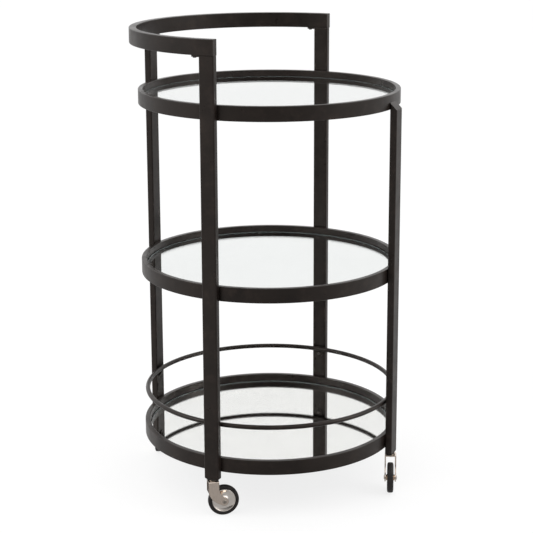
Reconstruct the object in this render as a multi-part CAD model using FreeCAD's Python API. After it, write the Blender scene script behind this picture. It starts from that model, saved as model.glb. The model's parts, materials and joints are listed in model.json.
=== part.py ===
import FreeCAD, Part
import math
import os

# Round three-tier bar cart on four casters, in millimetres.
# The origin is on the floor, on the vertical axis of the round shelves. +Z is up.
# The short leg stands at -Y, and the closed back of the handle is at +Y.

# Shelf rings: bent rectangular tube, standing on its narrow side.
ring_outer_radius = 257.0
ring_thickness = 10.0
ring_height = 28.5
ring_wall = 1.2
ring_edge = 1.2
bottom_shelf_top = 117.0
shelf_pitch = 339.5

# Ledge inside each ring, and the pane that lies on it with soft pads between.
ledge_width = 8.0
ledge_thickness = 1.5
ledge_drop = 20.0
pad_thickness = 1.0
pad_diameter = 7.0
pads_per_shelf = 6
pane_gap = 1.0
glass_thickness = 6.0
mirror_thickness = 4.0
pane_chamfer = 0.8

# Legs: straight rectangular tube, with the wide face turned outwards.
leg_width = 30.0
leg_depth = 14.0
leg_wall = 1.5
leg_edge = 2.5
leg_bottom = 77.0
short_leg_cap = 1.5

# Handle: half ring of rectangular tube that lies on the three tall legs.
handle_bottom = 886.0
handle_height = 30.0
handle_depth = 14.0
handle_overhang = 1.0
handle_wall = 1.5
handle_edge = 1.5
handle_cap = 1.5
handle_tab_length = 17.0
handle_tab_width = 12.0
handle_tab_thickness = 3.0

# Gallery rail: round rod above the bottom shelf, inside the legs.
rail_rod = 9.0
rail_above_shelf = 65.3
rail_tab_width = 16.0
rail_tab_drop = 16.0
rail_tab_rise = 2.0
rail_tab_thickness = 2.0
rail_screw_drop = 12.4

# Screws, and the threaded inserts in the legs that they go into.
shank = 4.0
shank_hole = 4.2
insert_bore = 4.1
insert_diameter = 6.0
insert_hole = 6.1
insert_length = 4.0
small_head = 6.4
handle_head = 7.0
head_height = 2.0
head_round = 0.9
socket_width = 2.5
socket_depth = 1.1
shelf_screw_drop = 24.9
handle_screw_length = 8.0

# Leg plugs: plastic, with a tapered shoe below the tube and a socket for the stem.
plug_gap = 0.2
plug_insert_height = 11.5
plug_shoe_height = 4.0
plug_taper_wide = 4.5
plug_taper_deep = 2.0
stem_socket = 8.1
stem_socket_depth = 14.5

# Casters: steel stem, stamped fork, riveted axle, dished metal wheel and rubber tyre.
# Each one is drawn with its stem on the Z axis and its wheel trailing towards +X.
wheel_radius = 30.0
caster_trail = 20.0
stem_diameter = 8.0
stem_length = 14.0
stem_rivet_diameter = 11.0
stem_rivet_height = 2.8
washer_diameter = 14.0
washer_thickness = 0.8
swivel_gap = 0.1
swivel_clearance = 0.05
fork_gap = 18.0
fork_plate = 2.5
fork_half_length = 10.2
fork_bend = 3.2
fork_inner_bend = 0.8

# Arm of the fork from the side. Its back and front edges run straight down from the crown,
# curve in through a waist, and meet the round end about the axle at two angles.
fork_back_straight = 23.5
fork_back_waist = -3.0
fork_back_waist_rise = 5.5
fork_front_straight = 15.5
fork_front_waist = 13.2
fork_front_waist_rise = 16.5
fork_end_radius = 8.2
fork_end_from = 228.0
fork_end_to = 420.0

axle_diameter = 5.0
axle_clearance = 0.05
axle_head = 9.0
axle_head_height = 1.4
axle_dimple = 2.4
bush_diameter = 8.0
bush_gap = 0.2

# Wheel and tyre, as distances from the axle's centre line and from the wheel's middle plane.
boss_radius = 5.8
web_half = 2.4
dish_steps = 12
dish_fall = 4
dish_rise = 3
disc_radius = 23.0
rim_half = 5.9
rim_bead = 2.4
rim_round = 0.7
seat_half = 3.6
seat_depth = 1.4
seat_slope = 0.8
tyre_width = 12.6
tyre_lip = 0.6
tyre_lip_rise = 1.5
tyre_shoulder = 3.2
shoulder_steps = 6

# Angle of each leg round the axis, from +X towards +Y, in degrees.
leg_angles = {"right": 0.0, "back": 90.0, "left": 180.0, "front": 270.0}
tall_legs = ("right", "back", "left")
# Side of each tall leg that has the handle's tab, along the leg's own tangent.
tab_sides = {"right": 1, "back": -1, "left": -1}
# Direction in which each wheel trails behind its stem, from +X towards +Y, in degrees.
caster_headings = {"right": -150.0, "back": -155.0, "left": -53.0, "front": -159.5}

shelf_tops = {
    "bottom": bottom_shelf_top,
    "middle": bottom_shelf_top + shelf_pitch,
    "top": bottom_shelf_top + 2 * shelf_pitch,
}
pane_thickness = {"bottom": mirror_thickness, "middle": glass_thickness, "top": glass_thickness}

ring_inner_radius = ring_outer_radius - ring_thickness
leg_centre_radius = ring_outer_radius + leg_depth / 2
handle_outer_radius = ring_outer_radius + leg_depth + handle_overhang
handle_inner_radius = handle_outer_radius - handle_depth
handle_end = -leg_width / 2
short_leg_outer_top = shelf_tops["top"] - ring_height
short_leg_inner_top = short_leg_outer_top + leg_depth
rail_height = bottom_shelf_top + rail_above_shelf
rail_radius = ring_outer_radius - rail_tab_thickness - rail_rod / 2
rail_screw_height = rail_height - rail_screw_drop
plug_bottom = leg_bottom - plug_shoe_height
crown_top = plug_bottom - washer_thickness - 2 * swivel_gap
crown_underside = crown_top - fork_plate
arm_outside = fork_gap / 2 + fork_plate

# Longer than half the cart is wide, for cuts that go right across it.
far = 400.0

origin = FreeCAD.Vector(0, 0, 0)
up = FreeCAD.Vector(0, 0, 1)
outward = FreeCAD.Vector(1, 0, 0)
sideways = FreeCAD.Vector(0, 1, 0)


def save(name, shape):
    """Write one sub-part to its own file."""
    shape.exportStep("parts/" + name + ".step")


def at_angle(shape, angle):
    """Copy of a shape made at +X, turned round the cart's axis."""
    copy = shape.copy()
    copy.rotate(origin, up, angle)
    return copy


def outline_face(points, rounds):
    """Flat face with straight sides, each corner rounded by its own radius."""
    edges = []
    ends = []
    count = len(points)
    for i in range(count):
        corner = points[i]
        radius = rounds[i]
        before = (points[i - 1] - corner).normalize()
        after = (points[(i + 1) % count] - corner).normalize()
        half = before.getAngle(after) / 2
        if radius == 0:
            ends.append((corner, corner))
            continue
        reach = radius / math.tan(half)
        start = corner + before * reach
        end = corner + after * reach
        inward = (before + after).normalize()
        middle = corner + inward * (radius / math.sin(half) - radius)
        edges.append(Part.Arc(start, middle, end).toShape())
        ends.append((start, end))
    for i in range(count):
        start = ends[i][1]
        end = ends[(i + 1) % count][0]
        if start.distanceToPoint(end) > 1e-6:
            edges.append(Part.makeLine(start, end))
    return Part.Face(Part.Wire(Part.__sortEdges__(edges)))


def upright_section(inner, outer, low, high, edge):
    """Rounded rectangle standing in the XZ plane, to be turned round the axis."""
    points = [
        FreeCAD.Vector(inner, 0, low),
        FreeCAD.Vector(outer, 0, low),
        FreeCAD.Vector(outer, 0, high),
        FreeCAD.Vector(inner, 0, high),
    ]
    return outline_face(points, [edge] * len(points))


def level_section(centre_x, depth, width, height, edge):
    """Rounded rectangle lying level at one height, with its depth along X."""
    x0 = centre_x - depth / 2
    x1 = centre_x + depth / 2
    points = [
        FreeCAD.Vector(x0, -width / 2, height),
        FreeCAD.Vector(x1, -width / 2, height),
        FreeCAD.Vector(x1, width / 2, height),
        FreeCAD.Vector(x0, width / 2, height),
    ]
    return outline_face(points, [edge] * len(points))


def turned(profile, axis_point, axis):
    """Solid of revolution of a list of points or of a face."""
    face = profile
    if isinstance(profile, list):
        face = Part.Face(Part.makePolygon(profile + [profile[0]]))
    return face.revolve(axis_point, axis, 360)


def tube_ring(inner, outer, low, high, wall, edge):
    """Rectangular tube bent to a full ring round the cart's axis, joined halfway between legs."""
    skin = turned(upright_section(inner, outer, low, high, edge), origin, up)
    hollow = upright_section(inner + wall, outer - wall, low + wall, high - wall, edge / 3)
    return at_angle(skin.cut(turned(hollow, origin, up)), 45)


def radial_rod(diameter, start, end, height):
    """Cylinder that points outwards along +X at one height."""
    base = FreeCAD.Vector(start, 0, height)
    return Part.makeCylinder(diameter / 2, end - start, base, outward)


def hexagon(width, depth, base, axis):
    """Hexagonal prism, sized across its flats, that starts at base and runs along axis."""
    tilt = FreeCAD.Rotation(up, axis)
    corner_radius = width / math.sqrt(3)
    points = []
    for i in range(7):
        turn = math.radians(60 * i)
        corner = FreeCAD.Vector(corner_radius * math.cos(turn), corner_radius * math.sin(turn), 0)
        points.append(base + tilt.multVec(corner))
    return Part.Face(Part.makePolygon(points)).extrude(axis * depth)


def screw(head_diameter, length, base, axis):
    """Button-head screw. Its shank starts at base and runs along axis, and its head is behind."""
    top = base - axis * head_height
    head = Part.makeCylinder(head_diameter / 2, head_height, top, axis)
    rim = [e for e in head.Edges if e.Closed and e.CenterOfMass.distanceToPoint(top) < 1e-6]
    head = head.makeFillet(head_round, rim)
    head = head.cut(hexagon(socket_width, socket_depth, top, axis))
    return head.fuse(Part.makeCylinder(shank / 2, length, base, axis)).removeSplitter()


def shelf_ring(level):
    """Ring of one shelf, drilled through both walls for its four screws."""
    top = shelf_tops[level]
    ring = tube_ring(
        ring_inner_radius, ring_outer_radius, top - ring_height, top, ring_wall, ring_edge
    )
    drill = radial_rod(
        shank_hole, ring_inner_radius - 1, ring_outer_radius + 1, top - shelf_screw_drop
    )
    return ring.cut([at_angle(drill, angle) for angle in leg_angles.values()])


def shelf_ledge(level):
    """Flat ring welded inside a shelf ring, which carries the pane."""
    low = shelf_tops[level] - ledge_drop - ledge_thickness
    base = FreeCAD.Vector(0, 0, low)
    disc = Part.makeCylinder(ring_inner_radius, ledge_thickness, base)
    return disc.cut(Part.makeCylinder(ring_inner_radius - ledge_width, ledge_thickness, base))


def shelf_pads(level):
    """Small clear pads on the ledge, evenly spaced, that the pane lies on."""
    radius = ring_inner_radius - ledge_width / 2
    base = FreeCAD.Vector(radius, 0, shelf_tops[level] - ledge_drop)
    pad = Part.makeCylinder(pad_diameter / 2, pad_thickness, base)
    step = 360 / pads_per_shelf
    return Part.makeCompound([at_angle(pad, step * (i + 0.5)) for i in range(pads_per_shelf)])


def shelf_pane(level):
    """Round pane with ground edges, lying on the pads."""
    base = FreeCAD.Vector(0, 0, shelf_tops[level] - ledge_drop + pad_thickness)
    pane = Part.makeCylinder(ring_inner_radius - pane_gap, pane_thickness[level], base)
    rims = [e for e in pane.Edges if e.Closed]
    return pane.makeChamfer(pane_chamfer, rims)


def leg_tube(bottom, top):
    """Leg at +X with open ends, before any hole is drilled."""
    skin = level_section(leg_centre_radius, leg_depth, leg_width, bottom, leg_edge)
    hollow = level_section(
        leg_centre_radius, leg_depth - 2 * leg_wall, leg_width - 2 * leg_wall, bottom, leg_edge / 3
    )
    height = up * (top - bottom)
    return skin.extrude(height), hollow.extrude(height)


def mitre_wedge(drop):
    """Everything above the slope of the short leg's top, moved down along Z by drop."""
    low = short_leg_outer_top - drop
    points = [
        FreeCAD.Vector(ring_outer_radius + leg_depth + leg_depth, -leg_width, low - leg_depth),
        FreeCAD.Vector(ring_outer_radius - leg_depth, -leg_width, low + 2 * leg_depth),
        FreeCAD.Vector(ring_outer_radius + 2 * leg_depth, -leg_width, low + 2 * leg_depth),
    ]
    face = Part.Face(Part.makePolygon(points + [points[0]]))
    return face.extrude(sideways * (2 * leg_width))


def insert_heights():
    """Heights of the threaded inserts in each leg."""
    heights = [top - shelf_screw_drop for top in shelf_tops.values()]
    return heights + [rail_screw_height]


def leg(name):
    """One leg tube with the holes for its inserts. The short one ends in a slope."""
    top = handle_bottom if name in tall_legs else short_leg_inner_top
    skin, hollow = leg_tube(leg_bottom, top)
    tube = skin.cut(hollow)
    hole_end = ring_outer_radius + 2 * leg_wall
    cutters = [
        radial_rod(insert_hole, ring_outer_radius - 1, hole_end, height)
        for height in insert_heights()
    ]
    if name not in tall_legs:
        cutters.append(mitre_wedge(short_leg_cap * math.sqrt(2)))
    return at_angle(tube.cut(cutters), leg_angles[name])


def short_leg_top_cap():
    """Sloping plate welded on the short leg's open top."""
    skin = leg_tube(leg_bottom, short_leg_inner_top)[0]
    slab = mitre_wedge(short_leg_cap * math.sqrt(2)).cut(mitre_wedge(0))
    return at_angle(skin.common(slab), leg_angles["front"])


def thread_inserts():
    """Threaded inserts in the inner faces of all four legs."""
    inserts = []
    for angle in leg_angles.values():
        for height in insert_heights():
            end = ring_outer_radius + insert_length
            sleeve = radial_rod(insert_diameter, ring_outer_radius, end, height)
            bore = radial_rod(insert_bore, ring_outer_radius - 1, end + 1, height)
            inserts.append(at_angle(sleeve.cut(bore), angle))
    return Part.makeCompound(inserts)


def shelf_screws(level):
    """Four screws from inside one ring, through the ring into the legs."""
    seat = math.sqrt(ring_inner_radius**2 - (small_head / 2) ** 2)
    length = ring_outer_radius + insert_length - seat
    base = FreeCAD.Vector(seat, 0, shelf_tops[level] - shelf_screw_drop)
    one = screw(small_head, length, base, outward)
    return Part.makeCompound([at_angle(one, angle) for angle in leg_angles.values()])


def tab_screw_place(side):
    """Place of a handle screw at +X, on the underside of the handle."""
    along = side * (leg_width / 2 + handle_tab_length - handle_tab_width / 2)
    return FreeCAD.Vector(leg_centre_radius, along, handle_bottom)


def handle_band(wall):
    """Full ring of the handle's section, drawn in by wall on every side."""
    section = upright_section(
        handle_inner_radius + wall,
        handle_outer_radius - wall,
        handle_bottom + wall,
        handle_bottom + handle_height - wall,
        handle_edge if wall == 0 else handle_edge / 3,
    )
    return turned(section, origin, up)


def slab(y0, y1):
    """Tall block across the whole cart, between two values of Y."""
    corner = FreeCAD.Vector(-far, y0, handle_bottom - handle_height)
    return Part.makeBox(2 * far, y1 - y0, 3 * handle_height, corner)


def handle():
    """Half ring of tube, with holes in its underside for the tab screws."""
    tube = handle_band(0).cut(handle_band(handle_wall))
    tube = tube.common(slab(handle_end + handle_cap, far))
    holes = []
    for name in tall_legs:
        place = tab_screw_place(tab_sides[name])
        hole = Part.makeCylinder(shank_hole / 2, 2 * handle_wall, place - up)
        holes.append(at_angle(hole, leg_angles[name]))
    return tube.cut(holes)


def handle_end_caps():
    """Plates welded on the handle's two ends, flush with the sides of the legs."""
    return handle_band(0).common(slab(handle_end, handle_end + handle_cap))


def handle_tabs():
    """Tab beside the top of each tall leg, drilled for the screw into the handle."""
    tabs = []
    for name in tall_legs:
        side = tab_sides[name]
        low = handle_bottom - handle_tab_thickness
        near = side * leg_width / 2
        tip = side * (leg_width / 2 + handle_tab_length)
        x0 = leg_centre_radius - handle_tab_width / 2
        x1 = leg_centre_radius + handle_tab_width / 2
        points = [
            FreeCAD.Vector(x0, near, low),
            FreeCAD.Vector(x1, near, low),
            FreeCAD.Vector(x1, tip, low),
            FreeCAD.Vector(x0, tip, low),
        ]
        corner = handle_tab_width * 0.45
        plate = outline_face(points, [0, 0, corner, corner]).extrude(up * handle_tab_thickness)
        base = tab_screw_place(side) - up * (handle_tab_thickness + 1)
        plate = plate.cut(Part.makeCylinder(shank_hole / 2, handle_tab_thickness + 2, base))
        tabs.append(at_angle(plate, leg_angles[name]))
    return Part.makeCompound(tabs)


def handle_screws():
    """Screws up through the tabs into the handle."""
    screws = []
    for name in tall_legs:
        base = tab_screw_place(tab_sides[name]) - up * handle_tab_thickness
        one = screw(handle_head, handle_screw_length, base, up)
        screws.append(at_angle(one, leg_angles[name]))
    return Part.makeCompound(screws)


def gallery_rail():
    """Closed ring of round rod that keeps bottles on the bottom shelf."""
    return Part.makeTorus(rail_radius, rail_rod / 2, FreeCAD.Vector(0, 0, rail_height))


def rail_tabs():
    """Tab behind the rail at each leg, with a rounded lower end."""
    low = rail_height - rail_rod / 2 - rail_tab_drop
    high = rail_height + rail_tab_rise
    x0 = ring_outer_radius - rail_tab_thickness
    half = rail_tab_width / 2
    points = [
        FreeCAD.Vector(x0, -half, low),
        FreeCAD.Vector(x0, half, low),
        FreeCAD.Vector(x0, half, high),
        FreeCAD.Vector(x0, -half, high),
    ]
    bottom_round = 0.45 * rail_tab_width
    face = outline_face(points, [bottom_round, bottom_round, 0, 0])
    plate = face.extrude(outward * rail_tab_thickness)
    hole = radial_rod(shank_hole, x0 - 1, ring_outer_radius + 1, rail_screw_height)
    plate = plate.cut(hole)
    return Part.makeCompound([at_angle(plate, angle) for angle in leg_angles.values()])


def rail_screws():
    """One screw through each rail tab into its leg."""
    base = FreeCAD.Vector(ring_outer_radius - rail_tab_thickness, 0, rail_screw_height)
    one = screw(small_head, rail_tab_thickness + insert_length, base, outward)
    return Part.makeCompound([at_angle(one, angle) for angle in leg_angles.values()])


def leg_plug(name):
    """Plastic plug of one leg: block inside the tube, tapered shoe and stem socket."""
    block_depth = leg_depth - 2 * leg_wall - 2 * plug_gap
    block_width = leg_width - 2 * leg_wall - 2 * plug_gap
    block = level_section(leg_centre_radius, block_depth, block_width, leg_bottom, leg_edge / 3)
    block = block.extrude(up * plug_insert_height)
    shoe_top = level_section(leg_centre_radius, leg_depth, leg_width, leg_bottom, leg_edge)
    shoe_low = level_section(
        leg_centre_radius,
        leg_depth - 2 * plug_taper_deep,
        leg_width - 2 * plug_taper_wide,
        plug_bottom,
        leg_edge,
    )
    shoe = Part.makeLoft([shoe_top.OuterWire, shoe_low.OuterWire], True, True)
    base = FreeCAD.Vector(leg_centre_radius, 0, plug_bottom - 1)
    socket = Part.makeCylinder(stem_socket / 2, stem_socket_depth + 1, base)
    return at_angle(block.fuse(shoe).cut(socket), leg_angles[name])


def swivel_washers():
    """Washer between each plug and its fork, round the stem."""
    washers = []
    for angle in leg_angles.values():
        base = FreeCAD.Vector(leg_centre_radius, 0, crown_top + swivel_gap)
        disc = Part.makeCylinder(washer_diameter / 2, washer_thickness, base)
        bore = Part.makeCylinder(stem_socket / 2, washer_thickness, base)
        washers.append(at_angle(disc.cut(bore), angle))
    return Part.makeCompound(washers)


def place_caster(shape, name):
    """Move a caster piece, made with its stem on the axis and trailing along +X."""
    copy = shape.copy()
    copy.rotate(origin, up, caster_headings[name])
    turn = math.radians(leg_angles[name])
    centre = FreeCAD.Vector(math.cos(turn), math.sin(turn), 0) * leg_centre_radius
    copy.translate(centre)
    return copy


def caster_stem():
    """Stem pressed into the plug, with the rivet head that holds the fork up."""
    rivet_top = crown_underside - swivel_gap
    pin = Part.makeCylinder(
        stem_diameter / 2,
        plug_bottom + stem_length - rivet_top,
        FreeCAD.Vector(0, 0, rivet_top),
    )
    tip = FreeCAD.Vector(0, 0, plug_bottom + stem_length)
    rim = [e for e in pin.Edges if e.Closed and e.CenterOfMass.distanceToPoint(tip) < 1e-6]
    pin = pin.makeChamfer(stem_diameter / 8, rim)
    base = FreeCAD.Vector(0, 0, rivet_top - stem_rivet_height)
    rivet = Part.makeCylinder(stem_rivet_diameter / 2, stem_rivet_height, base)
    rim = [e for e in rivet.Edges if e.Closed and e.CenterOfMass.distanceToPoint(base) < 1e-6]
    rivet = rivet.makeFillet(stem_rivet_height * 0.8, rim)
    return pin.fuse(rivet).removeSplitter()


def fork_side_outline():
    """Outline of the fork seen from the side, from the crown down round the axle."""

    def place(x, z):
        return FreeCAD.Vector(x, -far, z)

    def end_point(degrees):
        turn = math.radians(degrees)
        x = caster_trail + fork_end_radius * math.cos(turn)
        return place(x, wheel_radius + fork_end_radius * math.sin(turn))

    back_top = place(-fork_half_length, crown_top)
    back_bend = place(-fork_half_length, crown_top - fork_back_straight)
    back_middle = place(fork_back_waist, wheel_radius + fork_back_waist_rise)
    front_top = place(fork_half_length, crown_top)
    front_bend = place(fork_half_length, crown_top - fork_front_straight)
    front_middle = place(fork_front_waist, wheel_radius + fork_front_waist_rise)
    end_back = end_point(fork_end_from)
    end_middle = end_point((fork_end_from + fork_end_to) / 2)
    end_front = end_point(fork_end_to)
    edges = [
        Part.makeLine(back_top, back_bend),
        Part.Arc(back_bend, back_middle, end_back).toShape(),
        Part.Arc(end_back, end_middle, end_front).toShape(),
        Part.Arc(end_front, front_middle, front_bend).toShape(),
        Part.makeLine(front_bend, front_top),
        Part.makeLine(front_top, back_top),
    ]
    return Part.Face(Part.Wire(edges)).extrude(sideways * (2 * far))


def caster_fork():
    """Stamped U-shaped fork: a crown with the swivel hole, and two arms to the axle."""
    low = wheel_radius - 2 * fork_end_radius

    def across(half_width, top, bend):
        points = [
            FreeCAD.Vector(-far, -half_width, low),
            FreeCAD.Vector(-far, half_width, low),
            FreeCAD.Vector(-far, half_width, top),
            FreeCAD.Vector(-far, -half_width, top),
        ]
        return outline_face(points, [0, 0, bend, bend]).extrude(outward * (2 * far))

    folded = across(arm_outside, crown_top, fork_bend)
    folded = folded.cut(across(fork_gap / 2, crown_underside, fork_inner_bend))
    fork = folded.common(fork_side_outline())
    hole_base = FreeCAD.Vector(0, 0, crown_underside - fork_plate / 2)
    swivel_hole = Part.makeCylinder(
        stem_diameter / 2 + swivel_clearance, 2 * fork_plate, hole_base
    )
    axle_hole = Part.makeCylinder(
        axle_diameter / 2 + axle_clearance,
        4 * arm_outside,
        FreeCAD.Vector(caster_trail, -2 * arm_outside, wheel_radius),
        sideways,
    )
    return fork.cut([swivel_hole, axle_hole])


def wheel_profile(points):
    """Solid turned round the axle from (radius, distance along the axle) pairs."""
    base = FreeCAD.Vector(caster_trail, 0, wheel_radius)
    profile = [base + FreeCAD.Vector(0, along, radius) for radius, along in points]
    return turned(profile, base, sideways)


def caster_axle():
    """Axle rivet with a domed and dimpled head outside each arm."""
    radius = axle_diameter / 2
    head = axle_head / 2
    end = arm_outside + axle_head_height
    dimple = axle_dimple / 2
    half = [
        (radius, arm_outside),
        (head, arm_outside),
        (head, arm_outside + axle_head_height * 0.4),
        (head * 0.75, end),
        (dimple, end),
        (dimple * 0.5, end - axle_head_height * 0.6),
        (0, end - axle_head_height * 0.6),
    ]
    return wheel_profile(mirrored_across_wheel(half))


def caster_bush():
    """Plastic bush that turns on the axle inside the wheel."""
    inner = axle_diameter / 2 + axle_clearance
    outer = bush_diameter / 2
    end = fork_gap / 2 - bush_gap
    return wheel_profile([(inner, -end), (outer, -end), (outer, end), (inner, end)])


def mirrored_across_wheel(half):
    """Closed profile from its half on one side of the wheel's middle plane."""
    return half + [(radius, -along) for radius, along in reversed(half)]


def caster_wheel():
    """Pressed metal wheel: hub boss, dished face and beaded rim, alike on both sides."""
    bore = bush_diameter / 2
    boss_half = fork_gap / 2 - 2 * bush_gap
    bead_start = disc_radius - rim_bead
    half = [(bore, boss_half)]
    for i in range(dish_steps + 1):
        share = i / dish_steps
        radius = boss_radius + share * (bead_start - boss_radius)
        boss_rise = (boss_half - web_half) * (1 - share) ** dish_fall
        rim_rise = (rim_half - web_half) * share ** dish_rise
        half.append((radius, web_half + boss_rise + rim_rise))
    half.append((disc_radius - rim_round, rim_half))
    half.append((disc_radius, rim_half - rim_round))
    half.append((disc_radius, seat_half))
    half.append((disc_radius + seat_depth, seat_half - seat_slope))
    return wheel_profile(mirrored_across_wheel(half))


def caster_tyre():
    """Rubber tyre with rounded shoulders, seated round the wheel's rim."""
    half_width = tyre_width / 2
    half = [
        (disc_radius + seat_depth, seat_half - seat_slope),
        (disc_radius, seat_half),
        (disc_radius, half_width - tyre_lip),
        (disc_radius + tyre_lip_rise, half_width),
    ]
    for i in range(shoulder_steps + 1):
        turn = math.pi / 2 * i / shoulder_steps
        radius = wheel_radius - tyre_shoulder * (1 - math.sin(turn))
        along = half_width - tyre_shoulder * (1 - math.cos(turn))
        half.append((radius, along))
    return wheel_profile(mirrored_across_wheel(half))


os.makedirs("parts", exist_ok=True)

for level in shelf_tops:
    save("shelf_ring_" + level, shelf_ring(level))
    save("shelf_ledge_" + level, shelf_ledge(level))
    save("shelf_pads_" + level, shelf_pads(level))
    save("shelf_screws_" + level, shelf_screws(level))
save("glass_top", shelf_pane("top"))
save("glass_middle", shelf_pane("middle"))
save("mirror_bottom", shelf_pane("bottom"))

for name in leg_angles:
    save("leg_" + name, leg(name))
    save("leg_plug_" + name, leg_plug(name))
save("leg_top_cap_front", short_leg_top_cap())
save("thread_inserts", thread_inserts())

save("handle", handle())
save("handle_end_caps", handle_end_caps())
save("handle_tabs", handle_tabs())
save("handle_screws", handle_screws())

save("gallery_rail", gallery_rail())
save("rail_tabs", rail_tabs())
save("rail_screws", rail_screws())

save("swivel_washers", swivel_washers())
caster_pieces = {
    "caster_stem_": caster_stem(),
    "caster_fork_": caster_fork(),
    "caster_axle_": caster_axle(),
    "caster_bush_": caster_bush(),
    "caster_wheel_": caster_wheel(),
    "caster_tyre_": caster_tyre(),
}
for name in leg_angles:
    for prefix, piece in caster_pieces.items():
        save(prefix + name, place_caster(piece, name))
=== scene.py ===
import json
import math

import bmesh
import bpy
from mathutils import Matrix, Vector


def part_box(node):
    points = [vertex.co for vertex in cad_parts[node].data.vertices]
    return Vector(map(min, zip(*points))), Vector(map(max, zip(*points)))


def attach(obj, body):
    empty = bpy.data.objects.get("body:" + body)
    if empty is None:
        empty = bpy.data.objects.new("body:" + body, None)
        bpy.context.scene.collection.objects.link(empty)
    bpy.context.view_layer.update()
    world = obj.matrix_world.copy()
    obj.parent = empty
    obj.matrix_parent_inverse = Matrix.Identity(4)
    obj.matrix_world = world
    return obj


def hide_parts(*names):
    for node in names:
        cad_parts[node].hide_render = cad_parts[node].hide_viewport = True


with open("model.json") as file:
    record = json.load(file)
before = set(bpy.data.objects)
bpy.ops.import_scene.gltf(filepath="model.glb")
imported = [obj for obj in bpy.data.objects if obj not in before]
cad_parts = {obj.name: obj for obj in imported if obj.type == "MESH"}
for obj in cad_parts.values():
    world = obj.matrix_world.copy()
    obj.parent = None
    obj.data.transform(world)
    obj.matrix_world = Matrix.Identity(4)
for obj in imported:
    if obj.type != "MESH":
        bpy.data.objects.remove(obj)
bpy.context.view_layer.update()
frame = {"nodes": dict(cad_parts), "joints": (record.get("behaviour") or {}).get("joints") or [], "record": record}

# Round three-tier bar cart. Lengths are in metres, in the same frame as the CAD:
# origin on the floor on the axis of the shelves, +Z up, the short leg at -Y.
mm = 0.001
nodes = frame["nodes"]
joints = {joint["name"]: joint for joint in frame["joints"]}
levels = ("bottom", "middle", "top")
leg_directions = {
    "right": Vector((1, 0, 0)),
    "back": Vector((0, 1, 0)),
    "left": Vector((-1, 0, 0)),
    "front": Vector((0, -1, 0)),
}
up = Vector((0, 0, 1))

# Sections of the bent tubes and rods, and how finely they are turned.
ring_thickness = 10 * mm
ring_edge = 1.3 * mm
handle_depth = 14 * mm
handle_edge = 1.5 * mm
rail_radius = 250.5 * mm
rail_rod = 9 * mm
rail_facets = 28
edge_steps = 4
ring_segments = 240

# Leg tube.
leg_depth = 14 * mm
leg_width = 30 * mm
leg_edge = 2.5 * mm
leg_ease = 0.7 * mm

# Panes: rounding of the rim, how level a face is that isn't part of it, the layer behind the
# mirror's glass, and the gap between the two.
pane_edge = 0.8 * mm
pane_level_face = 0.95
silver_thickness = 0.3 * mm
silver_gap = 0.02 * mm

# Wheel, from the axle's centre line and the wheel's middle plane. The hub falls and the rim
# rises from the flat web by these powers of the way across it.
hub_bore = 4 * mm
hub_half = 8.6 * mm
hub_radius = 5.6 * mm
hub_bevel = 0.5 * mm
web_half = 2.3 * mm
web_steps = 28
hub_fall = 4.5
rim_rise = 2.6
disc_radius = 23 * mm
rim_half = 5.9 * mm
rim_bead = 1.1 * mm
rim_bead_steps = 8
wheel_segments = 96

# Seat of the tyre on the wheel, as (beyond the disc's radius, half width).
tyre_seat = ((0, 3.6 * mm), (1.4 * mm, 2.8 * mm))

# Tyre. The lip is given as (beyond the disc's radius, in from the tyre's side), and the mould
# line round the tread as (below the tyre's full radius, half width).
tyre_half = 6.3 * mm
tyre_shoulder = 3.1 * mm
tyre_shoulder_steps = 8
tyre_side_step = 0.35 * mm
tyre_lip = (
    (0, 0.7 * mm),
    (0.5 * mm, 0.2 * mm),
    (1.3 * mm, 0),
    (2.6 * mm, 0),
    (2.9 * mm, tyre_side_step),
)
tread_drop = 0.15 * mm
mould_line = ((0.05 * mm, 1.4 * mm), (0.03 * mm, 0.45 * mm), (0, 0.18 * mm))

# Axle and its riveted heads, outside the fork's arms. The dimple is given as (radius, depth).
arm_outside = 11.5 * mm
axle_core = 2.5 * mm
axle_gap = 0.02 * mm
axle_head_radius = 4.2 * mm
axle_head_height = 1.4 * mm
axle_head_round = 1.6 * mm
axle_head_foot = 0.35
axle_head_steps = 6
axle_dimple = ((1.5 * mm, 0), (1.25 * mm, 0.25 * mm), (1.1 * mm, 1.5 * mm), (0, 1.9 * mm))
axle_segments = 40

# Weld beads: their section, and where they lie on the rail's tabs and under the ledges.
bead_radius = 1.3 * mm
bead_ripples = 7
bead_ripple_steps = 6
bead_ripple_height = 0.12
bead_facets = 12
rail_bead_reach = 5.5 * mm
rail_bead_inset = 1.6 * mm
rail_bead_rise = 3.0 * mm
ledge_bead_reach = 6 * mm
ledge_bead_inset = 0.8 * mm
ledge_bead_drop = 0.3 * mm
ledge_bead_count = 6
ledge_bead_first = 15

# Shading: the angle in degrees from which an edge is sharp, how strongly large faces pull
# the normals, and the samples of a rounded normal.
sharp_angle = 40
normal_weight = 80
edge_samples = 6

# CAD nodes that stay: the angles in degrees within which faces are one flat face and from
# which edges are rounded, and the width of the rounding by the start of a node's name.
flat_angle = 1
round_angle = 35
weld_distance = 0.001 * mm
soft_edges = {
    "caster_fork": 0.22 * mm,
    "leg_plug": 0.5 * mm,
    "rail_tabs": 0.5 * mm,
    "handle_tabs": 0.3 * mm,
    "shelf_ledge": 0.3 * mm,
    "leg_top_cap": 0.5 * mm,
    "handle_end_caps": 0.12 * mm,
    "swivel_washers": 0.15 * mm,
}

# Camera: where it stands round the cart, and how it looks at it.
camera_azimuth = -65.225
camera_distance = 2.9116
camera_height = 1.2087
camera_turn = 0.131
camera_pitch = 13.324
camera_roll = -0.231
camera_lens = 100.903
camera_sensor = 36
camera_shift_y = -0.08
camera_reach = 200

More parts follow.
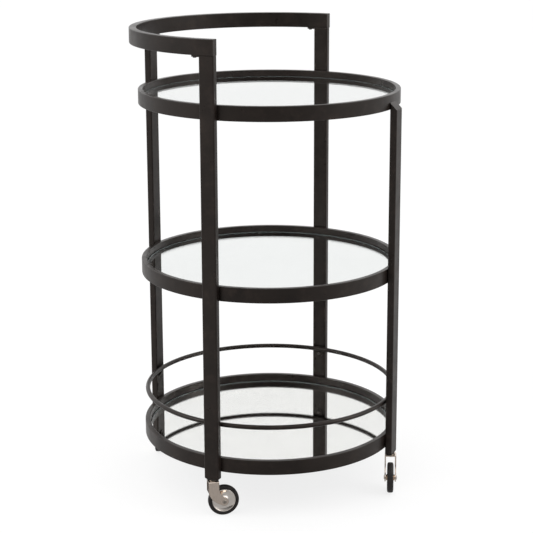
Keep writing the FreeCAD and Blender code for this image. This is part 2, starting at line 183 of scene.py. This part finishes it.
# Studio: the side it is dim on, a little below level, and how squarely a direction points
# there (1 is straight at it) where the dimming starts and ends. Soft light comes from the
# floor and the surroundings in two strengths, away from the dim side and in it. Soft lights
# are given as (place, size in metres, watts).
dim_side = (-0.857, -0.393, -0.333)
dim_from = 0.35
dim_to = 0.90
floor_glow = 0.80
floor_soft = (0.55, 0.24)
floor_tones = (0.205, 0.215)
floor_reach = 60.0
world_soft = (1.05, 0.10)
soft_lights = {
    "key": ((-2.4, 2.6, 2.6), 2.0, 40),
    "fill": ((0.6, -3.2, 2.2), 2.0, 30),
}
light_target = (0, 0, 0.5)


# ---------------------------------------------------------------- materials


def new_material(name, **inputs):
    """Material with one Principled shader whose plain inputs are set by name."""
    material = bpy.data.materials.new(name)
    material.use_nodes = True
    tree = material.node_tree
    shader = tree.nodes["Principled BSDF"]
    for key, value in inputs.items():
        shader.inputs[key.replace("_", " ")].default_value = value
    return material, tree, shader


def noise(tree, scale, detail=3.0, stretch=(1, 1, 1), rough=0.55):
    """Noise over the piece's own place, in features of about 1/scale metres."""
    place = tree.nodes.new("ShaderNodeTexCoord")
    mapping = tree.nodes.new("ShaderNodeMapping")
    mapping.inputs["Scale"].default_value = stretch
    texture = tree.nodes.new("ShaderNodeTexNoise")
    texture.inputs["Scale"].default_value = scale
    texture.inputs["Detail"].default_value = detail
    texture.inputs["Roughness"].default_value = rough
    tree.links.new(place.outputs["Object"], mapping.inputs["Vector"])
    tree.links.new(mapping.outputs["Vector"], texture.inputs["Vector"])
    return texture.outputs["Fac"]


def ramp(tree, source, stops):
    """Colour ramp from (position, colour) stops."""
    node = tree.nodes.new("ShaderNodeValToRGB")
    elements = node.color_ramp.elements
    while len(elements) < len(stops):
        elements.new(0.5)
    for element, (position, colour) in zip(elements, stops):
        element.position = position
        element.color = (*colour, 1)
    tree.links.new(source, node.inputs["Fac"])
    return node.outputs["Color"]


def spread(tree, source, low, high, source_low=0.3, source_high=0.7):
    """The source's usual range mapped to low..high."""
    node = tree.nodes.new("ShaderNodeMapRange")
    node.inputs["From Min"].default_value = source_low
    node.inputs["From Max"].default_value = source_high
    node.inputs["To Min"].default_value = low
    node.inputs["To Max"].default_value = high
    tree.links.new(source, node.inputs["Value"])
    return node.outputs["Result"]


def mixed(tree, share, linked, fixed):
    """Colour that goes from a linked one to a fixed one by share."""
    node = tree.nodes.new("ShaderNodeMix")
    node.data_type = "RGBA"
    tree.links.new(share, node.inputs["Factor"])
    tree.links.new(linked, node.inputs["A"])
    node.inputs["B"].default_value = (*fixed, 1)
    return node.outputs["Result"]


def bump(tree, shader, heights):
    """Chain of bumps, from (height source, depth in metres, strength)."""
    normal = None
    for height, depth, strength in heights:
        node = tree.nodes.new("ShaderNodeBump")
        node.inputs["Distance"].default_value = depth
        node.inputs["Strength"].default_value = strength
        tree.links.new(height, node.inputs["Height"])
        if normal is not None:
            tree.links.new(normal, node.inputs["Normal"])
        normal = node.outputs["Normal"]
    tree.links.new(normal, shader.inputs["Normal"])


def edge_mask(tree, radius, first, last):
    """0 on flat faces and 1 along edges, from how far a rounded normal leans there."""
    rounded = tree.nodes.new("ShaderNodeBevel")
    rounded.samples = edge_samples
    rounded.inputs["Radius"].default_value = radius
    true_normal = tree.nodes.new("ShaderNodeNewGeometry")
    dot = tree.nodes.new("ShaderNodeVectorMath")
    dot.operation = "DOT_PRODUCT"
    tree.links.new(rounded.outputs["Normal"], dot.inputs[0])
    tree.links.new(true_normal.outputs["Normal"], dot.inputs[1])
    return spread(tree, dot.outputs["Value"], 0, 1, first, last)


def multiplied(tree, first, second):
    """Product of two varying values."""
    node = tree.nodes.new("ShaderNodeMath")
    node.operation = "MULTIPLY"
    tree.links.new(first, node.inputs[0])
    tree.links.new(second, node.inputs[1])
    return node.outputs["Value"]


def grain(tree, shader, tone, scale, roughness, detail=3.0):
    """Links a colour and a roughness that varies within a range to the shader."""
    tree.links.new(tone, shader.inputs["Base Color"])
    varied = spread(tree, noise(tree, scale, detail), *roughness)
    tree.links.new(varied, shader.inputs["Roughness"])


def frame_paint():
    """Dark bronze powder coat: fine orange peel, faint mottling, edges rubbed a little and painted lighter as a
    painted edge highlight.
    """
    deep_bronze = (0.0075, 0.0054, 0.0046)
    bronze = (0.0170, 0.0122, 0.0102)
    rubbed_brown = (0.030, 0.021, 0.017)
    worn_edge_highlight = (0.062, 0.050, 0.043)
    warm_gloss = (1.0, 0.91, 0.85, 1)
    material, tree, shader = new_material(
        "frame_paint", Specular_IOR_Level=0.36, Specular_Tint=warm_gloss
    )
    cloud = noise(tree, scale=11, detail=5)
    rubbed = noise(tree, scale=34, detail=4, rough=0.65)
    dark = ramp(tree, cloud, [(0.32, deep_bronze), (0.68, bronze)])
    brown = ramp(tree, rubbed, [(0.50, (0, 0, 0)), (0.80, (1, 1, 1))])
    tone = mixed(tree, brown, dark, rubbed_brown)
    # Lighter edges: partly rubbed paint, partly a painted edge highlight.
    edges = edge_mask(tree, radius=1.6 * mm, first=0.985, last=0.80)
    worn_and_highlit_edges = multiplied(tree, edges, noise(tree, scale=160, detail=3))
    tree.links.new(mixed(tree, worn_and_highlit_edges, tone, worn_edge_highlight), shader.inputs["Base Color"])
    roughness = spread(tree, noise(tree, scale=40, detail=5), 0.27, 0.40)
    tree.links.new(roughness, shader.inputs["Roughness"])
    peel = noise(tree, scale=620, detail=2)
    grit = noise(tree, scale=2600, detail=2)
    bump(tree, shader, [(peel, 0.05 * mm, 0.25), (grit, 0.01 * mm, 0.35)])
    return material


def float_glass(name, light, dark):
    """Clear float glass, faintly and unevenly tinted."""
    material, tree, shader = new_material(name, Transmission_Weight=1.0, IOR=1.5, Roughness=0.0)
    tint = ramp(tree, noise(tree, scale=18), [(0.35, dark), (0.65, light)])
    tree.links.new(tint, shader.inputs["Base Color"])
    return material


def ground_edge():
    """Ground edge of a pane: fine-grained, milky and faintly green."""
    milky, green_grey = (0.64, 0.72, 0.72), (0.50, 0.58, 0.58)
    material, tree, shader = new_material(
        "ground_edge", Transmission_Weight=0.15, IOR=1.5, Specular_IOR_Level=0.5
    )
    tone = ramp(tree, noise(tree, scale=260, detail=4), [(0.3, green_grey), (0.7, milky)])
    grain(tree, shader, tone, 900, (0.45, 0.62))
    bump(tree, shader, [(noise(tree, scale=2400, detail=2), 0.02 * mm, 0.4)])
    return material


def silvering():
    """Silver layer on the back of the mirror, seen through its glass."""
    bright, dull = (0.945, 0.945, 0.935), (0.925, 0.925, 0.915)
    material, tree, shader = new_material("silvering", Metallic=1.0)
    tone = ramp(tree, noise(tree, scale=30), [(0.35, dull), (0.65, bright)])
    grain(tree, shader, tone, 90, (0.0, 0.02))
    return material


def backing_paint():
    """Grey protective paint under the mirror's silver."""
    light_grey, dark_grey = (0.22, 0.23, 0.24), (0.17, 0.18, 0.19)
    material, tree, shader = new_material("backing_paint", Specular_IOR_Level=0.3)
    tone = ramp(tree, noise(tree, scale=40, detail=5), [(0.3, dark_grey), (0.7, light_grey)])
    grain(tree, shader, tone, 300, (0.5, 0.65))
    bump(tree, shader, [(noise(tree, scale=900), 0.03 * mm, 0.3)])
    return material


def plated_steel(name, light, dark, edge, smooth, rough, brush):
    """Plated steel with drawn streaks, brush fine along X, Y and Z, and edges of another tone: painted shade where
    that tone is darker than the steel, a painted highlight where it is lighter.
    """
    material, tree, shader = new_material(name, Metallic=1.0)
    streaks = noise(tree, scale=1, detail=4, stretch=brush)
    tone = ramp(tree, streaks, [(0.3, dark), (0.7, light)])
    edges = edge_mask(tree, radius=1.2 * mm, first=0.98, last=0.85)
    patches = spread(tree, noise(tree, scale=400), 0.7, 1.0)
    # Edge tone over the streaks: painted shade where it is darker than the steel, a painted highlight where it is
    # lighter.
    colour = mixed(tree, multiplied(tree, edges, patches), tone, edge)
    tree.links.new(colour, shader.inputs["Base Color"])
    tree.links.new(spread(tree, streaks, smooth, rough), shader.inputs["Roughness"])
    bump(tree, shader, [(streaks, 0.01 * mm, 0.25)])
    return material


def bright_wheel():
    """Bright pressed wheel with a little handling haze."""
    bright, hazy = (0.95, 0.895, 0.840), (0.86, 0.790, 0.725)
    material, tree, shader = new_material("bright_wheel", Metallic=1.0)
    tone = ramp(tree, noise(tree, scale=220), [(0.3, hazy), (0.7, bright)])
    grain(tree, shader, tone, 700, (0.06, 0.14))
    bump(tree, shader, [(noise(tree, scale=1500, detail=2), 0.01 * mm, 0.2)])
    return material


def tyre_rubber():
    """Black rubber, matt and dustier in places."""
    dusty, black = (0.0270, 0.0215, 0.0195), (0.0070, 0.0056, 0.0052)
    material, tree, shader = new_material("tyre_rubber", Specular_IOR_Level=0.4)
    tone = ramp(tree, noise(tree, scale=120, detail=5), [(0.3, black), (0.7, dusty)])
    grain(tree, shader, tone, 500, (0.45, 0.62))
    bump(tree, shader, [(noise(tree, scale=1800), 0.04 * mm, 0.4)])
    return material


def moulded_plastic(name, light, dark):
    """Moulded plastic with a fine spark-eroded grain."""
    material, tree, shader = new_material(name, Specular_IOR_Level=0.4)
    tone = ramp(tree, noise(tree, scale=60, detail=4), [(0.3, dark), (0.7, light)])
    grain(tree, shader, tone, 400, (0.38, 0.52))
    bump(tree, shader, [(noise(tree, scale=2200, detail=2), 0.03 * mm, 0.4)])
    return material


def clear_pad():
    """Soft clear bumper: cloudy and slightly yellow."""
    clear, cloudy = (0.88, 0.89, 0.87), (0.80, 0.81, 0.78)
    material, tree, shader = new_material("clear_pad", Transmission_Weight=0.8, IOR=1.45)
    tone = ramp(tree, noise(tree, scale=300), [(0.3, cloudy), (0.7, clear)])
    grain(tree, shader, tone, 700, (0.2, 0.35), detail=2)
    return material


materials = {
    "frame_metal": frame_paint(),
    "clear_glass": float_glass(
        "clear_glass", light=(0.822, 0.842, 0.834), dark=(0.808, 0.828, 0.820)
    ),
    "mirror_glass": silvering(),
    "mirror_front": float_glass(
        "mirror_front", light=(0.970, 0.972, 0.964), dark=(0.962, 0.964, 0.955)
    ),
    "ground_edge": ground_edge(),
    "backing": backing_paint(),
    "clear_pads": clear_pad(),
    "black_screws": plated_steel(
        "black_oxide",
        light=(0.120, 0.110, 0.102),
        dark=(0.070, 0.064, 0.060),
        # Lighter edges: partly rubbed oxide, partly a painted highlight of the heads' rims.
        edge=(0.150, 0.138, 0.128),
        smooth=0.26,
        rough=0.38,
        brush=(300, 300, 300),
    ),
    "zinc_inserts": plated_steel(
        "zinc",
        light=(0.66, 0.65, 0.62),
        dark=(0.50, 0.49, 0.47),
        edge=(0.72, 0.71, 0.68),
        smooth=0.30,
        rough=0.45,
        brush=(400, 400, 400),
    ),
    "plug_plastic": moulded_plastic(
        "plug_plastic", light=(0.014, 0.013, 0.0125), dark=(0.009, 0.0085, 0.008)
    ),
    "caster_steel": plated_steel(
        "caster_zinc",
        light=(0.50, 0.45, 0.40),
        dark=(0.36, 0.32, 0.28),
        edge=(0.42, 0.38, 0.34),
        smooth=0.22,
        rough=0.36,
        brush=(500, 500, 90),
    ),
    "caster_fork_steel": plated_steel(
        "satin_nickel",
        light=(0.80, 0.690, 0.600),
        dark=(0.66, 0.555, 0.475),
        # Near-black edges on the pale fork: painted shade.
        edge=(0.17, 0.145, 0.128),
        smooth=0.17,
        rough=0.27,
        brush=(900, 900, 60),
    ),
    "wheel_metal": bright_wheel(),
    "bush_plastic": moulded_plastic(
        "bush_plastic", light=(0.62, 0.61, 0.58), dark=(0.52, 0.51, 0.48)
    ),
    "tyre_rubber": tyre_rubber(),
}


# ---------------------------------------------------------------- mesh tools


def rounded_section(x0, x1, z0, z1, radius):
    """Closed section of a tube as (radius, height) points, with rounded corners."""
    corners = (
        (x1 - radius, z0 + radius, -90),
        (x1 - radius, z1 - radius, 0),
        (x0 + radius, z1 - radius, 90),
        (x0 + radius, z0 + radius, 180),
    )
    points = []
    for x, z, first in corners:
        for i in range(edge_steps + 1):
            turn = math.radians(first + 90 * i / edge_steps)
            points.append((x + radius * math.cos(turn), z + radius * math.sin(turn)))
    return points


def pane_section(radius, z0, z1):
    """Section of a round pane with rounded edges, from the axis at the bottom to the top."""
    rounds = rounded_section(0, radius, z0, z1, pane_edge)[: 2 * (edge_steps + 1)]
    return [(0, z0)] + rounds + [(0, z1)]


def turned(name, section, segments, closed=True):
    """Mesh of revolution about Z from (radius, height) points."""
    count = len(section)
    points = []
    for i in range(segments):
        turn = math.radians(360 * i / segments)
        points.extend((r * math.cos(turn), r * math.sin(turn), z) for r, z in section)
    steps = count if closed else count - 1
    faces = []
    for i in range(segments):
        first = i * count
        second = (i + 1) % segments * count
        for k in range(steps):
            n = (k + 1) % count
            faces.append((first + k, second + k, second + n, first + n))
    mesh = bpy.data.meshes.new(name)
    mesh.from_pydata(points, [], faces)
    clean(mesh)
    return mesh


def clean(mesh):
    """Joins doubled points and turns all faces outwards."""
    work = bmesh.new()
    work.from_mesh(mesh)
    bmesh.ops.remove_doubles(work, verts=work.verts, dist=1e-7)
    bmesh.ops.dissolve_degenerate(work, dist=1e-7, edges=work.edges)
    bmesh.ops.recalc_face_normals(work, faces=work.faces)
    work.to_mesh(mesh)
    work.free()


def finish_shading(piece, sharp_degrees):
    """Smooth faces with true flat ones kept flat."""
    piece.data.shade_smooth()
    piece.data.set_sharp_from_angle(angle=math.radians(sharp_degrees))
    weighted = piece.modifiers.new("even_normals", "WEIGHTED_NORMAL")
    weighted.keep_sharp = True
    weighted.weight = normal_weight


def add_piece(name, mesh, slot, body, replaced=(), sharp_degrees=sharp_angle, looks=None):
    """Puts a finished mesh in the scene as a piece that rides on a body."""
    piece = bpy.data.objects.new(name, mesh)
    bpy.context.scene.collection.objects.link(piece)
    for look in looks or (slot,):
        piece.data.materials.append(materials[look])
    finish_shading(piece, sharp_degrees)
    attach(piece, body)
    if replaced:
        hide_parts(*replaced)


# ---------------------------------------------------------------- frame


def shelf_ring(level):
    """Bent tube ring of one shelf."""
    low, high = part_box("shelf_ring_" + level)
    section = rounded_section(high.x - ring_thickness, high.x, low.z, high.z, ring_edge)
    name = "ring_tube_" + level
    mesh = turned(name, section, ring_segments)
    add_piece(name, mesh, "frame_metal", "frame", ["shelf_ring_" + level])


def push_handle():
    """Half ring of tube, without its two end plates."""
    low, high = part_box("handle")
    outer = high.y
    section = rounded_section(outer - handle_depth, outer, low.z, high.z, handle_edge)
    mesh = turned("handle_tube", section, ring_segments)
    work = bmesh.new()
    work.from_mesh(mesh)
    everything = work.verts[:] + work.edges[:] + work.faces[:]
    cut = bmesh.ops.bisect_plane(
        work, geom=everything, plane_co=(0, low.y, 0), plane_no=(0, -1, 0), clear_outer=True
    )
    rims = [item for item in cut["geom_cut"] if isinstance(item, bmesh.types.BMEdge)]
    bmesh.ops.contextual_create(work, geom=[e for e in rims if e.verts[0].co.x > 0])
    bmesh.ops.contextual_create(work, geom=[e for e in rims if e.verts[0].co.x < 0])
    bmesh.ops.recalc_face_normals(work, faces=work.faces)
    work.to_mesh(mesh)
    work.free()
    add_piece("handle_tube", mesh, "frame_metal", "frame", ["handle"])


def bottle_rail():
    """Ring of round rod above the bottom shelf."""
    low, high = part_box("gallery_rail")
    middle = (low.z + high.z) / 2
    section = []
    for i in range(rail_facets):
        turn = math.tau * i / rail_facets
        radius = rail_radius + rail_rod / 2 * math.cos(turn)
        section.append((radius, middle + rail_rod / 2 * math.sin(turn)))
    mesh = turned("rail_rod", section, ring_segments)
    add_piece("rail_rod", mesh, "frame_metal", "frame", ["gallery_rail"])


def weld_bead(name, centre, along, reach):
    """Rippled, tapered bead of weld, reaching the same way to both sides of its centre."""
    start = centre - along * reach
    end = centre + along * reach
    length = (end - start).length
    steps = bead_ripples * bead_ripple_steps
    section = [(0, 0)]
    for i in range(1, steps):
        share = i / steps
        taper = math.sqrt(max(0.0, 1 - (2 * share - 1) ** 4))
        ripple = 1 + bead_ripple_height * math.cos(math.tau * bead_ripples * share)
        section.append((bead_radius * taper * ripple, length * share))
    section.append((0, length))
    mesh = turned(name, section, bead_facets, closed=False)
    turn = (end - start).to_track_quat("Z", "Y").to_matrix().to_4x4()
    mesh.transform(Matrix.Translation(start) @ turn)
    add_piece(name, mesh, "frame_metal", "frame", sharp_degrees=180)


def leg_tube(leg):
    """Leg tube with rounded corners and eased ends. The short one ends in a slope."""
    outward = leg_directions[leg]
    along = up.cross(outward)
    low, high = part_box("leg_" + leg)
    outer = max(abs(low.dot(outward)), abs(high.dot(outward)))
    inner = outer - leg_depth
    corners = rounded_section(inner, outer, -leg_width / 2, leg_width / 2, leg_edge)
    eased = rounded_section(
        inner + leg_ease,
        outer - leg_ease,
        -leg_width / 2 + leg_ease,
        leg_width / 2 - leg_ease,
        leg_edge - leg_ease,
    )
    slope = 1.0 if leg == "front" else 0.0
    points = []
    for section, end, shift in (
        (eased, low.z, 0),
        (corners, low.z, leg_ease),
        (corners, high.z, -leg_ease),
        (eased, high.z, 0),
    ):
        for depth, width in section:
            drop = slope * (depth - inner) if end == high.z else 0.0
            points.append(outward * depth + along * width + up * (end + shift - drop))
    count = len(corners)
    faces = [tuple(range(count)), tuple(range(3 * count, 4 * count))]
    for row in range(3):
        for k in range(count):
            n = (k + 1) % count
            first = row * count
            faces.append((first + k, first + n, first + count + n, first + count + k))
    mesh = bpy.data.meshes.new("leg_tube_" + leg)
    mesh.from_pydata(points, [], faces)
    clean(mesh)
    add_piece("leg_tube_" + leg, mesh, "frame_metal", "frame", ["leg_" + leg])


def rail_welds():
    """Two beads at each rail tab, above and below the rod where it meets the plate."""
    low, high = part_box("gallery_rail")
    middle = (low.z + high.z) / 2
    for leg, outward in leg_directions.items():
        along = up.cross(outward)
        for place, side in (("upper", 1), ("lower", -1)):
            centre = outward * (rail_radius + rail_rod / 2 - rail_bead_inset)
            centre.z = middle + side * rail_bead_rise
            weld_bead(f"rail_weld_{place}_{leg}", centre, along, rail_bead_reach)


def ledge_welds():
    """Short beads under each ledge, where it is tacked to its ring."""
    for level in levels:
        low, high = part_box("shelf_ledge_" + level)
        radius = high.x - ledge_bead_inset
        for i in range(ledge_bead_count):
            turn = math.radians(360 / ledge_bead_count * i + ledge_bead_first)
            outward = Vector((math.cos(turn), math.sin(turn), 0))
            along = up.cross(outward)
            centre = outward * radius
            centre.z = low.z - ledge_bead_drop
            weld_bead(f"ledge_weld_{level}_{i + 1}", centre, along, ledge_bead_reach)


# ---------------------------------------------------------------- shelves


def grind_rim(mesh):
    """Gives the faces round a pane's rim its second material."""
    for face in mesh.polygons:
        face.material_index = 0 if abs(face.normal.z) > pane_level_face else 1


def glass_pane(level):
    """Clear pane with ground edges."""
    low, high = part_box("glass_" + level)
    name = "glass_pane_" + level
    mesh = turned(name, pane_section(high.x, low.z, high.z), ring_segments, closed=False)
    grind_rim(mesh)
    looks = ("clear_glass", "ground_edge")
    add_piece(name, mesh, "clear_glass", "frame", ["glass_" + level], looks=looks)


def mirror_pane():
    """Glass front of the mirror with its silver and grey backing paint under it."""
    low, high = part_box("mirror_bottom")
    split = low.z + silver_thickness
    section = pane_section(high.x, split, high.z)
    glass = turned("mirror_front", section, ring_segments, closed=False)
    grind_rim(glass)
    looks = ("mirror_front", "ground_edge")
    add_piece("mirror_front", glass, "mirror_glass", "frame", ["mirror_bottom"], looks=looks)
    radius = high.x - pane_edge
    top = split - silver_gap
    section = [(0, low.z), (radius, low.z), (radius, top), (0, top)]
    silver = turned("mirror_silver", section, ring_segments, closed=False)
    for face in silver.polygons:
        face.material_index = 0 if face.normal.z > pane_level_face else 1
    looks = ("mirror_glass", "backing")
    add_piece("mirror_silver", silver, "mirror_glass", "frame", ["mirror_bottom"], looks=looks)


# ---------------------------------------------------------------- casters


def on_axle(mesh, joint):
    """Moves a mesh made about Z so that Z is the wheel's axle."""
    axis = Vector(joint["axis"])
    turn = axis.to_track_quat("Z", "Y").to_matrix().to_4x4()
    mesh.transform(Matrix.Translation(Vector(joint["pos_m"])) @ turn)
    return mesh


def both_sides(half):
    """Closed section from its half with positive heights."""
    return half + [(radius, -height) for radius, height in reversed(half)]


def wheel_section():
    """Pressed wheel: hub boss, dished web and rolled rim bead."""
    bead_centre = disc_radius - rim_bead
    dish_end = bead_centre - rim_bead
    half = [
        (hub_bore, hub_half),
        (hub_radius - hub_bevel, hub_half),
        (hub_radius, hub_half - hub_bevel),
    ]
    for i in range(1, web_steps):
        share = i / web_steps
        radius = hub_radius + share * (dish_end - hub_radius)
        boss = (hub_half - hub_bevel - web_half) * (1 - share) ** hub_fall
        rise = (rim_half - rim_bead - web_half) * share ** rim_rise
        half.append((radius, web_half + boss + rise))
    for i in range(rim_bead_steps + 1):
        turn = math.radians(180 - 180 * i / rim_bead_steps)
        radius = bead_centre + rim_bead * math.cos(turn)
        half.append((radius, rim_half - rim_bead + rim_bead * math.sin(turn)))
    half.extend((disc_radius + beyond, width) for beyond, width in tyre_seat)
    return both_sides(half)


def tyre_section(wheel_radius):
    """Tyre with stepped side walls, round shoulders and a mould line round the tread."""
    half = [(disc_radius + beyond, width) for beyond, width in reversed(tyre_seat)]
    half.extend((disc_radius + beyond, tyre_half - inset) for beyond, inset in tyre_lip)
    tread = wheel_radius - tread_drop
    side = tyre_half - tyre_side_step
    for i in range(tyre_shoulder_steps + 1):
        turn = math.radians(90 * i / tyre_shoulder_steps)
        radius = tread - tyre_shoulder * (1 - math.sin(turn))
        half.append((radius, side - tyre_shoulder * (1 - math.cos(turn))))
    half.extend((wheel_radius - below, width) for below, width in mould_line)
    return both_sides(half)


def axle_section():
    """Riveted axle with a domed, dimpled head at each end, from one end to the other."""
    end = arm_outside + axle_head_height
    foot = arm_outside + axle_gap
    half = [(radius, end - depth) for radius, depth in reversed(axle_dimple)]
    for i in range(axle_head_steps, 0, -1):
        turn = math.radians(90 * i / axle_head_steps)
        radius = axle_head_radius - axle_head_round * (1 - math.cos(turn))
        share = axle_head_foot + (1 - axle_head_foot) * math.sin(turn)
        half.append((radius, arm_outside + axle_head_height * share))
    half += [(axle_head_radius, foot), (axle_core, foot)]
    return both_sides(half)[::-1]


def caster(leg):
    """Wheel, tyre and axle of one caster, as turned pieces about its own axle."""
    roll = joints[f"wheel_{leg}_roll"]
    wheel_radius = roll["pos_m"][2]
    swivels = "swivel_" + leg
    rolls = "wheel_" + leg
    for part, section, segments, closed, slot, body in (
        ("disc", wheel_section(), wheel_segments, True, "wheel_metal", rolls),
        ("tyre", tyre_section(wheel_radius), wheel_segments, True, "tyre_rubber", rolls),
        ("axle", axle_section(), axle_segments, False, "caster_steel", swivels),
    ):
        name = f"wheel_{part}_{leg}"
        mesh = on_axle(turned(name, section, segments, closed=closed), roll)
        node = "caster_wheel_" if part == "disc" else f"caster_{part}_"
        add_piece(name, mesh, slot, body, [node + leg])


# ---------------------------------------------------------------- CAD nodes that stay


def dress_cad_nodes():
    """Gives every CAD node its slot's material, and softens the edges of the small ones."""
    slots = {part["node"]: part["material_slot"] for part in frame["record"]["subparts"]}
    for name, node in nodes.items():
        node.data.materials.clear()
        node.data.materials.append(materials[slots[name]])
        weld = node.modifiers.new("joined", "WELD")
        weld.merge_threshold = weld_distance
        for prefix, width in soft_edges.items():
            if name.startswith(prefix):
                soften(node, width)
        weighted = node.modifiers.new("even_normals", "WEIGHTED_NORMAL")
        weighted.keep_sharp = True


def soften(node, width):
    """Rounds a CAD node's sharp edges by a small width."""
    flat = node.modifiers.new("flat_faces", "DECIMATE")
    flat.decimate_type = "DISSOLVE"
    flat.angle_limit = math.radians(flat_angle)
    rounded = node.modifiers.new("soft_edges", "BEVEL")
    rounded.width = width
    rounded.segments = 2
    rounded.limit_method = "ANGLE"
    rounded.angle_limit = math.radians(round_angle)
    rounded.use_clamp_overlap = True


# ---------------------------------------------------------------- studio


def dim_share(tree, direction):
    """1 where a direction points to the dim side of the studio, 0 elsewhere."""
    unit = tree.nodes.new("ShaderNodeVectorMath")
    unit.operation = "NORMALIZE"
    dot = tree.nodes.new("ShaderNodeVectorMath")
    dot.operation = "DOT_PRODUCT"
    dot.inputs[1].default_value = dim_side
    tree.links.new(direction, unit.inputs[0])
    tree.links.new(unit.outputs["Vector"], dot.inputs[0])
    return spread(tree, dot.outputs["Value"], 0, 1, dim_from, dim_to)


def greys(tree, source, strengths, places=(0.0, 1.0)):
    """Grey that goes from one strength to another as the source goes between two places."""
    return ramp(tree, source, [(place, (grey,) * 3) for place, grey in zip(places, strengths)])


def seen_sharply(tree):
    """1 for what is seen directly, through clear glass or in a mirror, 0 for soft light."""
    path = tree.nodes.new("ShaderNodeLightPath")
    either = tree.nodes.new("ShaderNodeMath")
    either.operation = "MAXIMUM"
    tree.links.new(path.outputs["Is Camera Ray"], either.inputs[0])
    tree.links.new(path.outputs["Is Singular Ray"], either.inputs[1])
    return either.outputs["Value"]


def studio_floor():
    """Pale light table: it glows evenly, so that shadows on it stay faint."""
    mesh = bpy.data.meshes.new("studio_floor")
    far = floor_reach
    corners = [(-far, -far, 0), (far, -far, 0), (far, far, 0), (-far, far, 0)]
    mesh.from_pydata(corners, [], [(0, 1, 2, 3)])
    floor = bpy.data.objects.new("studio_floor", mesh)
    bpy.context.scene.collection.objects.link(floor)
    material, tree, shader = new_material("studio_floor", Specular_IOR_Level=0.0, Roughness=1.0)
    tone = greys(tree, noise(tree, scale=3), floor_tones, (0.3, 0.7))
    tree.links.new(tone, shader.inputs["Base Color"])
    place = tree.nodes.new("ShaderNodeTexCoord")
    dim = dim_share(tree, place.outputs["Object"])
    soft = greys(tree, dim, floor_soft)
    glow = mixed(tree, seen_sharply(tree), soft, (1.0, 1.0, 1.0))
    tree.links.new(glow, shader.inputs["Emission Color"])
    shader.inputs["Emission Strength"].default_value = floor_glow
    material.cycles.emission_sampling = "NONE"
    mesh.materials.append(material)


def studio_world():
    """Soft white surroundings, dim on one side so that the paint facing it stays dark."""
    world = bpy.data.worlds.new("studio")
    bpy.context.scene.world = world
    world.use_nodes = True
    tree = world.node_tree
    background = tree.nodes["Background"]
    background.inputs["Strength"].default_value = 1.0
    place = tree.nodes.new("ShaderNodeTexCoord")
    dim = dim_share(tree, place.outputs["Generated"])
    soft = greys(tree, dim, world_soft)
    shade = mixed(tree, seen_sharply(tree), soft, (1.0, 1.0, 1.0))
    tree.links.new(shade, background.inputs["Color"])


def soft_light(name, place, size, watts):
    """Square soft box aimed at the middle of the cart."""
    data = bpy.data.lights.new(name, "AREA")
    data.shape = "SQUARE"
    data.size = size
    data.energy = watts
    light = bpy.data.objects.new(name, data)
    bpy.context.scene.collection.objects.link(light)
    light.location = place
    aim = Vector(light_target) - Vector(place)
    light.rotation_mode = "QUATERNION"
    light.rotation_quaternion = aim.to_track_quat("-Z", "Y")
    light.visible_camera = False


def studio_camera():
    """Camera a little above the handle, looking down at the cart."""
    data = bpy.data.cameras.new("studio_camera")
    camera = bpy.data.objects.new("studio_camera", data)
    bpy.context.scene.collection.objects.link(camera)
    data.lens = camera_lens
    data.sensor_width = camera_sensor
    data.shift_y = camera_shift_y
    data.clip_end = camera_reach
    azimuth = math.radians(camera_azimuth)
    place = Vector((math.sin(azimuth), -math.cos(azimuth), 0)) * camera_distance
    place.z = camera_height
    heading = Matrix.Rotation(math.radians(camera_azimuth + camera_turn), 4, "Z")
    tilt = Matrix.Rotation(math.radians(90 - camera_pitch), 4, "X")
    roll = Matrix.Rotation(math.radians(camera_roll), 4, "Z")
    camera.matrix_world = Matrix.Translation(place) @ heading @ tilt @ roll
    bpy.context.scene.camera = camera


dress_cad_nodes()
for level in levels:
    shelf_ring(level)
push_handle()
bottle_rail()
for leg in leg_directions:
    leg_tube(leg)
rail_welds()
ledge_welds()
for level in ("top", "middle"):
    glass_pane(level)
mirror_pane()
for leg in leg_directions:
    caster(leg)

studio_floor()
studio_world()
for name, (place, size, watts) in soft_lights.items():
    soft_light(name, place, size, watts)
studio_camera()
bpy.context.scene.view_settings.view_transform = "Standard"
